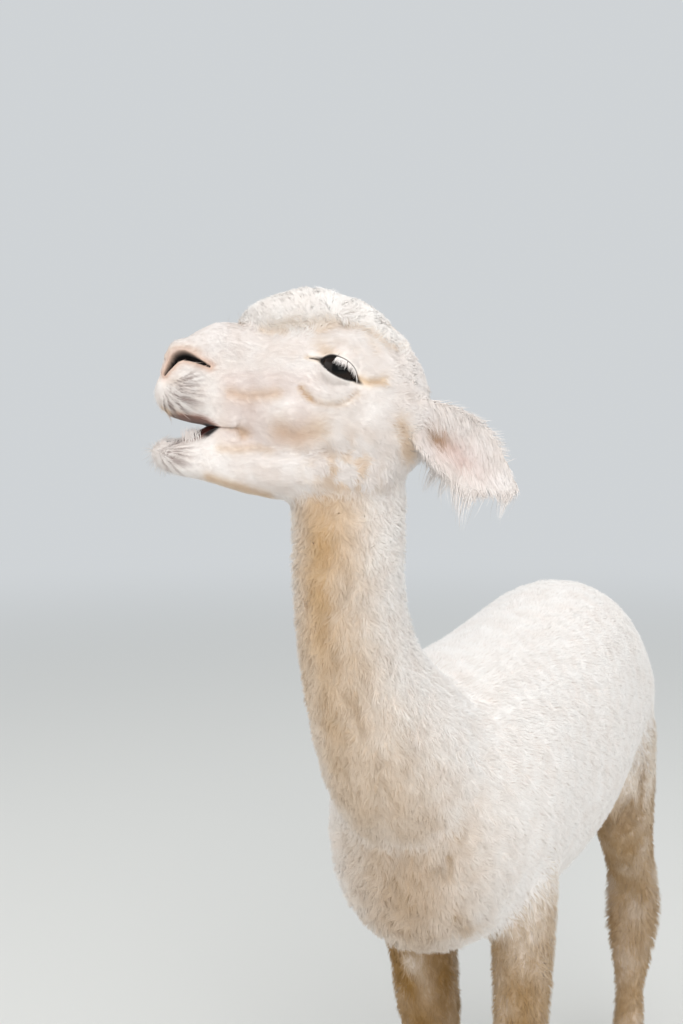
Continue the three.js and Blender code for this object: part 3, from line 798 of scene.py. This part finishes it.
# For each kind of coat: length and width of a tuft in millimetres, how steeply it rises and how it ends in degrees,
# how much tufts wander, the size of the clumps they gather in, in millimetres, how far they gather, how far their tips
# hang, and the space between tufts in millimetres.
LOOK = ("length", "width", "rise", "end", "wander", "clump", "gather", "hang", "spacing")
COATS = {
    "trunk": (13, 1.6, 34, 12, 0.25, 13, 0.2, 0, 2.75),
    "neck": (10, 1.2, 50, 30, 0.5, 5, 0.5, 0, 1.8),
    "topknot": (10, 1.05, 40, 16, 0.8, 4.5, 0.45, 0, 1.15),
    "face": (7, 0.7, 24, 8, 0.28, 4.5, 0.3, 0, 1.5),
    "cheek": (9.5, 0.9, 44, 22, 0.6, 5, 0.5, 0, 1.6),
    "ear": (16, 0.7, 15, 2, 0.16, 6, 0.4, 0.1, 1.45),
    "tail": (22, 1.8, 40, 15, 0.3, 12, 0.5, 0.1, 3.0),
    "leg": (12, 1.4, 42, 22, 0.45, 7, 0.45, 0, 2.8),
    "foot": (8, 1.1, 30, 10, 0.3, 7, 0.4, 0, 2.2),
}
woolly_cheek = np.maximum(on_head * fall(20, 62, ahead) * fall(-84, -52, above), on_head * fall(-62, -34, ahead))
breast = part["trunk"] * fall(-0.27, -0.17, ys) * fall(0.70, 0.82, heights)
coat_share = {
    "trunk": part["trunk"] - breast,
    "neck": part["neck"] + breast,
    "topknot": part["topknot"],
    "face": on_head - woolly_cheek,
    "cheek": woolly_cheek,
    "ear": on_ears,
    "tail": part["tail"],
    "leg": on_leg,
    "foot": on_foot,
}
whole = sum(coat_share.values())
field = {
    key: sum(share * COATS[coat][number] for coat, share in coat_share.items()) / whole
    for number, key in enumerate(LOOK)
}
near_muzzle = on_head * ramp(85, 130, ahead)
hem = (part["trunk"] + part["neck"]) * fall(-0.26, -0.2, ys) * fall(0.54, 0.74, heights)
hock = part["hindleg_left"] * bell(heights - 0.3, 0.07) * ramp(0.37, 0.41, ys)
field["length"] *= (1 - 0.35 * near_muzzle) * (1 + 0.35 * hem) * (1 - 0.7 * parted) * (1 + 0.7 * hock)
field["width"] *= 1 - 0.2 * near_muzzle
field["clump"] *= 1 + 0.4 * hem
field["gather"] += 0.12 * hem
field["rise"] *= 1 + 0.4 * hock


def scatter(where, spacing, chance):
    """Roots strewn over the hide: their faces, and their shares of each face's corners."""
    density = where / (spacing * MM) ** 2
    total = np.cumsum(areas * density[triangles].mean(axis=1))
    count = int(total[-1])
    aim = (np.arange(count) + chance.random(count)) * total[-1] / count
    face = np.searchsorted(total, aim).clip(0, len(areas) - 1)
    a, b = np.sqrt(chance.random(count)), chance.random(count)
    return face, np.stack([1 - a, a * (1 - b), a * b], axis=1)


def at_roots(values, face, corner):
    """A field's values at the roots."""
    picked = values[triangles[face]]
    return (picked * (corner if values.ndim == 1 else corner[:, :, None])).sum(axis=1)


SPIKE_TAPER = 0.85  # how far along a spike its rings reach
PATCH = 0.0012  # half the side of a spike's own patch of the map
ROUNDNESS = 0.22  # how much of a spike's own shape shows in its shading, beside the hide's under it
LEAST_FACING = 0.07  # every corner's shading faces the same way as its face by at least this much
FARTHEST_PULL = 0.012  # metres that a tip is drawn toward its clump, at most
UNEVEN = {"length": (0.72, 1.12), "rise": (0.8, 1.2), "width": (0.8, 1.2)}  # how far single tufts differ


def spikes(name, material, root, up, start, bend, width, rings, face, corner, marked=1):
    """One mesh of thin closed spikes of three sides. Each sets out along start and is carried aside by bend."""
    count = len(root)
    side_way = unit(np.cross(up, start))
    verts, blended = [], []
    for ring in range(rings):
        t = SPIKE_TAPER * ring / rings
        half = width / 2 * (1 - t) ** 0.6
        out = unit(np.cross(side_way, unit(start + 2 * bend * t)))
        out = np.where(((out * up).sum(axis=1) < 0)[:, None], -out, out)
        middle = root + start * t + bend * t * t
        for across, lift in ((-1, 0), (1, 0), (0, 0.75)):
            verts.append(middle + side_way * (across * half)[:, None] + out * (lift * half)[:, None])
            own = side_way * across * 0.8 + out * (0.35 + lift)
            blended.append(unit(ROUNDNESS * own + (1 - ROUNDNESS) * up))
    verts.append(root + start + bend)
    blended.append(up)
    each = len(verts)
    points = np.stack(verts, axis=1).reshape(-1, 3)
    soft = np.stack(blended, axis=1).reshape(-1, 3)
    pattern = [(0, 2, 1)]
    for low in range(0, 3 * rings - 3, 3):
        for a, b in ((0, 1), (1, 2), (2, 0)):
            pattern += [(low + a, low + b, low + b + 3), (low + a, low + b + 3, low + a + 3)]
    top = 3 * (rings - 1)
    pattern += [(top + a, top + b, each - 1) for a, b in ((0, 1), (1, 2), (2, 0))]
    pattern = np.array(pattern)
    faces = (np.arange(count)[:, None, None] * each + pattern[None]).reshape(-1, 3)
    corners = points[faces]
    face_ways = unit(np.cross(corners[:, 1] - corners[:, 0], corners[:, 2] - corners[:, 0]))
    centre = points.reshape(count, each, 3).mean(axis=1)[np.repeat(np.arange(count), len(pattern))]
    if np.median(((corners.mean(axis=1) - centre) * face_ways).sum(axis=1)) < 0:
        faces = faces[:, ::-1]
        face_ways = -face_ways
    corner_ways = soft[faces]
    facing = (corner_ways * face_ways[:, None, :]).sum(axis=2)
    lacking = np.maximum(LEAST_FACING - facing, 0) * 1.05
    corner_ways = unit((corner_ways + face_ways[:, None, :] * lacking[:, :, None]).reshape(-1, 3))

    mesh = bpy.data.meshes.new(name)
    mesh.vertices.add(len(points))
    mesh.vertices.foreach_set("co", points.ravel())
    mesh.loops.add(faces.size)
    mesh.loops.foreach_set("vertex_index", faces.ravel().astype(np.int32))
    mesh.polygons.add(len(faces))
    mesh.polygons.foreach_set("loop_start", np.arange(0, faces.size, 3, dtype=np.int32))
    mesh.update(calc_edges=True)

    # Each spike is laid out as a small patch of the map, at the place of its root on the hide's own map.
    spot = (flat_map[face] * corner[:, :, None]).sum(axis=1)
    layout = [(x, y + 1.2 * ring) for ring in range(rings) for x, y in ((-1, -1), (1, -1), (0.1, -0.5))]
    layout = np.array([*layout, (0, 1.2 * rings)])
    layout[:, 1] = (layout[:, 1] + 1) / (1.2 * rings + 1) * 2.4 - 1
    patch = spot[:, None, :] + PATCH * layout[None]
    mesh.uv_layers.new(name="OFBake").data.foreach_set("uv", patch.reshape(-1, 2)[faces.ravel()].ravel())
    for key, values in marks.items():
        write_mark(mesh, key, marked * np.repeat(at_roots(values, face, corner), each))
    mesh.normals_split_custom_set(corner_ways)
    mesh.materials.append(material)
    made = bpy.data.objects.new(name, mesh)
    bpy.context.scene.collection.objects.link(made)
    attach(made, "root")


def grow(name, slot, material, where, rings=1, lie_here=lie, marked=1, **look):
    """Strews tufts over the hide by a share, each with its coat's look and along the lie, gathered in clumps."""
    face, corner = scatter(where, look.get("spacing", field["spacing"]), chance)
    count = len(face)
    here = {key: at_roots(values, face, corner) for key, values in field.items()}
    here.update({key: np.full(count, float(value)) for key, value in look.items()})
    up = unit(at_roots(hide_ways, face, corner))
    way = at_roots(lie_here, face, corner)
    way = unit(way - (way * up).sum(axis=1)[:, None] * up)
    root = at_roots(hide_at, face, corner)
    turn = here["wander"] * (chance.normal(0, 1, count) + 1.2 * ripples(root, 0.011, 7))
    way = unit(way * np.cos(turn)[:, None] + np.cross(up, way) * np.sin(turn)[:, None])
    length = here["length"] * MM * chance.uniform(*UNEVEN["length"], count) * (1 + 0.14 * ripples(root, 0.012, 8))
    rise, end = np.radians(here["rise"]) * chance.uniform(*UNEVEN["rise"], count), np.radians(here["end"])
    first, last = (way * np.cos(steep)[:, None] + up * np.sin(steep)[:, None] for steep in (rise, end))
    tip = root + (0.55 * first + 0.45 * last) * length[:, None]
    tip[:, 2] -= here["hang"] * length
    chiefs = np.nonzero(chance.random(count) < np.minimum(1, (here["spacing"] / here["clump"]) ** 2))[0]
    if len(chiefs) == 0:
        chiefs = np.arange(count)
    clumps = KDTree(len(chiefs))
    for number, chief in enumerate(chiefs):
        clumps.insert(root[chief], number)
    clumps.balance()
    nearest = chiefs[np.array([clumps.find(Vector(p))[1] for p in root])]
    pull = here["gather"][:, None] * (tip[nearest] - tip)
    pull *= np.minimum(1, FARTHEST_PULL / np.maximum(np.linalg.norm(pull, axis=1), 1e-6))[:, None]
    width = here["width"] * MM * chance.uniform(*UNEVEN["width"], count)
    root -= up * (0.15 * width)[:, None]
    start = first * length[:, None]
    spikes(name, material, root, up, start, tip + pull - root - start, width, rings, face, corner, marked)


# ---------------------------------------------------------------- the fleece of the trunk and tail
# The real fleece was shorn some weeks ago. It is short, dense and bright, and lies back and down over the trunk,
# and the tail kept its length. It is made in three pieces, from the shoulders back, so that none is too large.
chance = np.random.default_rng(11)
fleece = hair_finish("shorn_white_alpaca_fleece", "#faf7f4", "#f4eee9", 0.25)
FLEECE = {"fleece_fore": (-1, -0.08), "fleece_middle": (-0.08, 0.19), "fleece_hind": (0.19, 1)}
for name, (front, back) in FLEECE.items():
    grow(name, "fleece", fleece, (coat_share["trunk"] + coat_share["tail"]) * ((ys > front) & (ys <= back)))

# ---------------------------------------------------------------- the wool of the neck and breast
# The real wool stands out from the neck in small crimped clumps, like velvet, and hangs a little over the breast.
# It is longest at the foot of the breast, and short in the dark partings.
neck_wool = hair_finish("crimped_neck_wool", "#fdfaf7", "#f7f0ea", 0.3)
for name, (low, high) in {"neck_wool_upper": (0.9, 2), "neck_wool_lower": (0, 0.9)}.items():
    grow(name, "stained_fleece", neck_wool, coat_share["neck"] * ((heights > low) & (heights <= high)))

# ---------------------------------------------------------------- the hair of the head
# The real head has short hair on the face, soft wool on the cheeks and throat, and a topknot of fine curls.
# Nothing grows in the nostrils, in the mouth and at the rims of the lids, where the skin is bare.
face_hair = hair_finish("short_face_hair", "#f5f0ed", "#ece3dd", 0.15)
clad = 1 - np.clip(bare, 0, 1)
grow("topknot_curls", "fleece", fleece, coat_share["topknot"], rings=3)
grow("face_hair", "face_hair", face_hair, coat_share["face"] * clad)
grow("cheek_wool", "face_hair", face_hair, coat_share["cheek"] * clad, rings=2)

# Longer hairs fan over both lips, stand up inside the lower one and point out from the chin. A few grow on the brow.
upper_lip = on_head * bell(np.hypot(ahead - 156, above + 32), 17) * clad
chin = on_head * bell(np.hypot(ahead - 170, above + 84), 15) * clad
inner_lip = part["lower_jaw"] * ramp(-78, -71, above) * ramp(7, 11, np.abs(aside))
lip_front = inner_lip * ramp(150, 154, ahead) + on_head * bell(np.hypot(ahead - 178, above + 72), 8)
leaning = np.zeros_like(hide_at) + in_row(-0.5, 0, 1)
grow(
    "lip_hair", "face_hair", face_hair, upper_lip + chin, rings=3, marked=0.6,
    length=12, width=0.5, rise=26, end=6, spacing=1.8, wander=0.14, clump=4, gather=0.4,
)
grow(
    "lower_lip_fuzz", "face_hair", face_hair, inner_lip * band(133, 145, 150, 154, ahead), rings=3, lie_here=leaning,
    marked=0.1, length=13, width=0.6, rise=50, end=30, spacing=1.1, wander=0.35, clump=5, gather=0.4,
)
grow(
    "lower_lip_fringe", "face_hair", face_hair, np.clip(lip_front, 0, 1), rings=2, marked=0.1,
    length=6, width=0.5, rise=58, end=40, spacing=1.3, wander=0.5, clump=4, gather=0.4,
)
grow(
    "chin_whiskers", "face_hair", face_hair, on_head * ramp(166, 176, ahead) * fall(-80, -74, above), rings=3,
    marked=0.2, length=13, width=0.45, rise=64, end=48, spacing=2.4, wander=0.3, clump=6, gather=0.3,
)
grow(
    "brow_hairs", "face_hair", face_hair, bell(np.hypot(ahead - 103, aside - 8), 7) * (above > 30), rings=4,
    length=15, width=0.3, rise=70, end=88, spacing=6, wander=0.5, clump=9, gather=0,
)

# ---------------------------------------------------------------- the hair of the ears
# The real ears hang, and long fine hair falls from them: over the hollow, off the lower edge, and up from the upper.
# The short hair that lies along the ear is made first, and then the longer hair of its edges.
grow("ear_hair", "ear_hair", face_hair, coat_share["ear"], rings=2)
lower_edge, upper_edge = np.zeros(len(places)), np.zeros(len(places))
for side in SIDES:
    share, across, _ = ear_share(places, side)
    lower_edge += part[f"ear_{side}"] * fall(-22, -10, across) * ramp(0.4, 0.7, share)
    lower_edge += part[f"ear_{side}"] * ramp(0.86, 0.96, share)
    upper_edge += part[f"ear_{side}"] * ramp(14, 24, across) * fall(0.8, 1, share)
lower_edge, upper_edge = np.clip(lower_edge, 0, 1), np.clip(upper_edge, 0, 1)
falling, curling, outward = (
    np.zeros_like(hide_at) + in_row(*way) for way in ((0.25, 0, -1), (0.5, 0.1, -0.8), (-1, 0, -0.1))
)
grow(
    "ear_fringe", "ear_hair", face_hair, lower_edge, rings=3, lie_here=falling, marked=0.3,
    length=19, width=0.6, rise=12, end=-8, hang=0.25, spacing=1.6, clump=8, gather=0.6,
)
grow(
    "ear_strands", "ear_hair", face_hair, lower_edge * (above < -84), rings=6, lie_here=curling, marked=0.2,
    length=30, width=0.5, rise=25, end=-20, hang=0.5, spacing=2.4, clump=11, gather=0.75,
)
grow(
    "ear_fluff", "ear_hair", face_hair, upper_edge, rings=2, lie_here=outward, marked=0.2,
    length=15, width=0.5, rise=16, end=6, hang=0, spacing=1.9, clump=7, gather=0.35,
)

# ---------------------------------------------------------------- the wool of the legs
# The real legs have thicker, matted wool in clumps, brown with dried soil, and short hair on the feet.
# It thins out just above the floor, so that no tuft reaches under the pads.
leg_wool = hair_finish("matted_leg_wool", "#ece4da", "#dacbb9", 0.1)
off_floor = ramp(12 * MM, 22 * MM, heights)
for name, end in {"leg_wool_fore": "fore", "leg_wool_hind": "hind"}.items():
    here = sum(part[f"{end}{own}_{side}"] for own in ("leg", "foot") for side in SIDES) * off_floor
    grow(name, "leg_wool", leg_wool, np.minimum(coat_share["leg"] + coat_share["foot"], here))

# ---------------------------------------------------------------- the eyes
# The real eyes are wet balls, brown to black, with a wide level pupil, loose behind the lids. Pale lashes hang over
# them from the rear half of each upper lid.
eyeball, eye_tree, wet = new_finish(
    "wet_dark_eyeball", Roughness=0.05, IOR=1.28, Coat_Weight=0.06, Coat_Roughness=0.02
)
pupil_share = add_node(eye_tree, "ShaderNodeAttribute", attribute_name="pupil").outputs["Fac"]
place = add_node(eye_tree, "ShaderNodeTexCoord").outputs["Object"]
fibres = add_node(eye_tree, "ShaderNodeTexNoise", {"Vector": place, "Scale": 420.0, "Detail": 3.0}).outputs["Fac"]
iris = add_node(eye_tree, "ShaderNodeMix", {0: fibres, 6: "#140c08", 7: "#21140c"}, data_type="RGBA").outputs[2]
shown = add_node(eye_tree, "ShaderNodeMix", {0: pupil_share, 6: iris, 7: "#020202"}, data_type="RGBA").outputs[2]
eye_tree.links.new(shown, wet.inputs["Base Color"])
CORNEA = {"bulge": 0.045, "half_angle": 38}
PUPIL = {"half_length": 9.5, "half_height": 6.0}

for side, sign in SIDES.items():
    bpy.ops.mesh.primitive_uv_sphere_add(segments=64, ring_count=40, radius=1)
    ball = bpy.context.active_object
    ball.name = ball.data.name = f"eyeball_{side}"
    ways_out = read_points(ball.data) @ HEAD_AXES.T * [1, sign, 1]
    bulge = 1 + CORNEA["bulge"] * ramp(math.cos(math.radians(CORNEA["half_angle"])), 1, ways_out[:, 1])
    local = ways_out * EYE_RADIUS * bulge[:, None]
    round_pupil = np.hypot(local[:, 0] / PUPIL["half_length"], local[:, 2] / PUPIL["half_height"])
    write_points(ball.data, from_head((local + EYE_AT) * [1, sign, 1]))
    if sign < 0:
        ball.data.flip_normals()
    write_mark(ball.data, "pupil", fall(0.85, 1.1, round_pupil) * (local[:, 1] > 0))
    bpy.ops.object.shade_smooth()
    ball.data.materials.append(eyeball)
    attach(ball, "root")
    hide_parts(f"eye_{side}")

LASHES = {"count": 190, "length": 8.0, "width": 0.5, "from": -0.97, "to": 0.4}
hide_tree = BVHTree.FromPolygons([Vector(p) for p in hide_at], triangles.tolist())
count = LASHES["count"]
tilt = math.radians(SLIT["tilt"])
for side, sign in SIDES.items():
    mirror = [1, sign, 1]
    along = chance.uniform(LASHES["from"], LASHES["to"], count)
    high = SLIT["above"] * (1 - np.abs(along) ** SLIT["power"]) ** (1 / SLIT["power"])
    x = SLIT["forward"] + along * SLIT["half"] * math.cos(tilt) - high * math.sin(tilt)
    z = SLIT["up"] + along * SLIT["half"] * math.sin(tilt) + high * math.cos(tilt)
    y = np.sqrt(np.maximum(EYE_RADIUS**2 - x**2 - z**2, 4))
    out = unit(np.stack([x, y, z], axis=1))
    root = from_head((out * (EYE_RADIUS + 1.6) + EYE_AT) * mirror)
    way = unit(out * mirror * 0.5 + [0.25, 0, -0.9] + chance.normal(0, 0.1, (count, 3)))
    size = LASHES["length"] * chance.uniform(0.4, 1.15, count)
    start = way @ HEAD_AXES * size[:, None] * MM
    sag = np.outer(size, [0.1, 0.05 * sign, -0.15]) @ HEAD_AXES * MM
    face = np.array([hide_tree.find_nearest(Vector(p))[2] for p in root])
    even = np.full((count, 3), 1 / 3)
    up = unit((out * mirror) @ HEAD_AXES)
    width = np.full(count, LASHES["width"] * MM)
    spikes(f"lashes_{side}", face_hair, root, up, start, sag, width, 3, face, even, marked=0)

# ---------------------------------------------------------------- the mouth and the nails
# The real tongue lies in the shade of the mouth, moist and dark. The nails are dull horn, ridged along their length.
# Both are smooth solids already, so they only get their finish here.


def finish_nodes(material, *names):
    """Gives solids of the model their real finish."""
    for name in names:
        for slot in frame["nodes"][name].material_slots:
            slot.material = material


def speckled_finish(name, light, deep, roughness, stretch=(1, 1, 1)):
    """A finish of two mingled colours, a little rough to the touch."""
    made, tree, shader = new_finish(name, Roughness=roughness)
    place = add_node(tree, "ShaderNodeTexCoord").outputs["Object"]
    scaled = add_node(tree, "ShaderNodeMapping", {"Vector": place, "Scale": stretch}).outputs["Vector"]
    grain = add_node(tree, "ShaderNodeTexNoise", {"Vector": scaled, "Scale": 160.0, "Detail": 4.0}).outputs["Fac"]
    level = add_node(tree, "ShaderNodeMapRange", {"Value": grain, "From Min": 0.35, "From Max": 0.65})
    mingled = add_node(tree, "ShaderNodeMix", {0: level.outputs["Result"], 6: light, 7: deep}, data_type="RGBA")
    tree.links.new(mingled.outputs[2], shader.inputs["Base Color"])
    raised = add_node(tree, "ShaderNodeBump", {"Height": grain, "Strength": 0.3, "Distance": 0.0004})
    tree.links.new(raised.outputs["Normal"], shader.inputs["Normal"])
    return made


finish_nodes(speckled_finish("moist_tongue", "#4a2520", "#1c0e0c", 0.35), "tongue")
nails = [name for name in frame["nodes"] if "nail" in name]
finish_nodes(speckled_finish("dull_dark_horn", "#4b4036", "#2c251f", 0.55, (1, 1, 5)), *nails)

# ---------------------------------------------------------------- the floor, lights and camera
# A plain pale floor that fades into a soft, even sky, with a broad light above the animal and two in front of it.
# The camera stands in front of the animal, on its left, about level with its face.
SKY_TINT = "#dfe3e6"
SKY_STRENGTH = 0.85
FLOOR_RADIUS = 14
FLOOR_FADE = {"From Min": 1.5, "From Max": 9.0}  # metres from the middle at which it starts and ends to fade
CAMERA_AT = (0.4939, -1.2822, 1.110)
CAMERA_DIP = 3.7355  # degrees below level
CAMERA_BEARING = 30  # degrees from straight in front, toward the animal's left

bpy.ops.object.select_all(action="DESELECT")
bpy.ops.mesh.primitive_circle_add(vertices=64, radius=FLOOR_RADIUS, fill_type="NGON", location=(0, 0, 0))
floor_disc = bpy.context.active_object
floor_disc.name = floor_disc.data.name = "floor"
floor_paint, floor_tree, paint = new_finish("pale_floor_paint", Base_Color=linear("#dcdcd9"), Roughness=0.9)
place = add_node(floor_tree, "ShaderNodeTexCoord").outputs["Object"]
from_middle = add_node(floor_tree, "ShaderNodeVectorMath", {0: place}, operation="LENGTH").outputs["Value"]
faded = add_node(
    floor_tree, "ShaderNodeMapRange", {"Value": from_middle, **FLOOR_FADE}, interpolation_type="SMOOTHERSTEP"
).outputs["Result"]
haze = add_node(floor_tree, "ShaderNodeEmission", {"Color": SKY_TINT, "Strength": SKY_STRENGTH}).outputs[0]
blend = add_node(floor_tree, "ShaderNodeMixShader", {0: faded, 1: paint.outputs[0], 2: haze}).outputs[0]
floor_tree.links.new(blend, floor_tree.nodes["Material Output"].inputs["Surface"])
floor_disc.data.materials.append(floor_paint)

sky = bpy.data.worlds.new("studio_sky")
sky.use_nodes = True
sky.node_tree.nodes["Background"].inputs["Color"].default_value = linear(SKY_TINT)
sky.node_tree.nodes["Background"].inputs["Strength"].default_value = SKY_STRENGTH
bpy.context.scene.world = sky


def lamp(name, place, aim, size, power, tint):
    """A broad square light at a place, facing a point."""
    bpy.ops.object.light_add(type="AREA", location=place)
    made = bpy.context.active_object
    made.name = name
    made.data.size = size
    made.data.energy = power
    made.data.color = linear(tint)[:3]
    made.rotation_euler = (Vector(aim) - Vector(place)).to_track_quat("-Z", "Y").to_euler()


lamp("sky_panel", (0.9, -0.4, 4.2), (0, 0, 0.8), 4.5, 72, "#fffdfa")
lamp("side_panel", (2.7, -3.0, 2.3), (0, -0.2, 0.9), 3.2, 72, "#fffaf5")
lamp("fill_panel", (-2.4, -2.6, 1.6), (0, -0.3, 0.9), 3.0, 30, "#fffaf5")

bpy.ops.object.camera_add(location=CAMERA_AT)
camera = bpy.context.active_object
camera.name = "camera"
camera.rotation_euler = (math.radians(90 - CAMERA_DIP), 0, math.radians(CAMERA_BEARING))
camera.data.lens = 35
camera.data.sensor_width = 36
bpy.context.scene.camera = camera
bpy.context.scene.view_settings.view_transform = "Standard"
